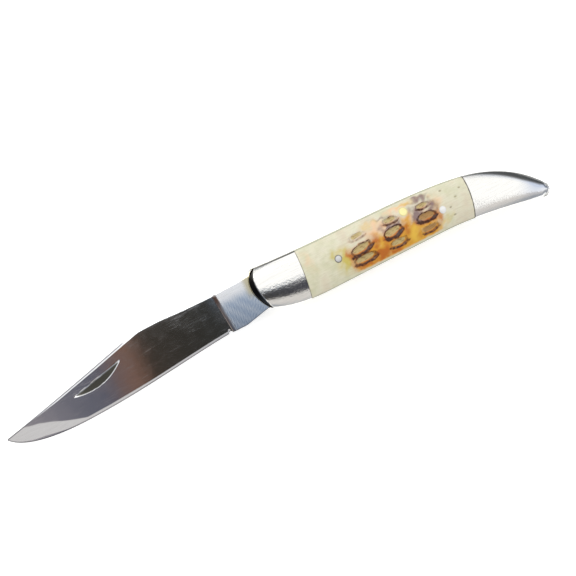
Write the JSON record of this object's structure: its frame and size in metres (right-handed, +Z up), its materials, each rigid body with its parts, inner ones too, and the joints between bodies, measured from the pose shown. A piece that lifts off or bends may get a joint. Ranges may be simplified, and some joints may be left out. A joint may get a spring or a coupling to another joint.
{
  "type": "folding pocketknife",
  "caption": "Slender folding pocketknife with a long clip-point blade, metal bolsters, jigged bone scales and a down-curved tapered butt.",
  "frame": {"origin": "on the pivot axis, in the flat face of the pile side that the knife rests on", "axes": "+X from the pivot to the butt, +Y to the back with the spring, +Z up through the side with the nail nick; the open blade points to -X with its edge to -Y"},
  "size_m": [0.1317, 0.0151, 0.0071],
  "materials": {
    "blade_steel": "mirror polished, with a finely brushed tang",
    "spring_steel": "ground and buffed",
    "liner_brass": "satin",
    "pin_brass": "polished, pale",
    "nickel_silver": "mirror polished",
    "jigged_bone": "polished bone, stained amber and brown round the jigging"
  },
  "bodies": {
    "handle": {"backspring": "spring_steel", "liner_mark_side": "liner_brass", "liner_pile_side": "liner_brass", "front_bolster_mark_side": "nickel_silver", "front_bolster_pile_side": "nickel_silver", "rear_bolster_mark_side": "nickel_silver", "rear_bolster_pile_side": "nickel_silver", "scale_mark_side": "jigged_bone", "scale_pile_side": "jigged_bone", "pivot_pin": "nickel_silver", "spring_centre_pin": "pin_brass", "spring_end_pin": "nickel_silver", "scale_pin_front_mark_side": "nickel_silver", "scale_pin_rear_mark_side": "nickel_silver", "scale_pin_front_pile_side": "nickel_silver", "scale_pin_rear_pile_side": "nickel_silver"},
    "blade": {"blade": "blade_steel"}
  },
  "joints": [
    {"name": "blade_pivot", "type": "hinge", "parent": "handle", "child": "blade", "pos_m": [0, 0, 0.00355], "axis": [0, 0, 1], "range_deg": [0, 170.5], "deforming": ["backspring"]}
  ]
}
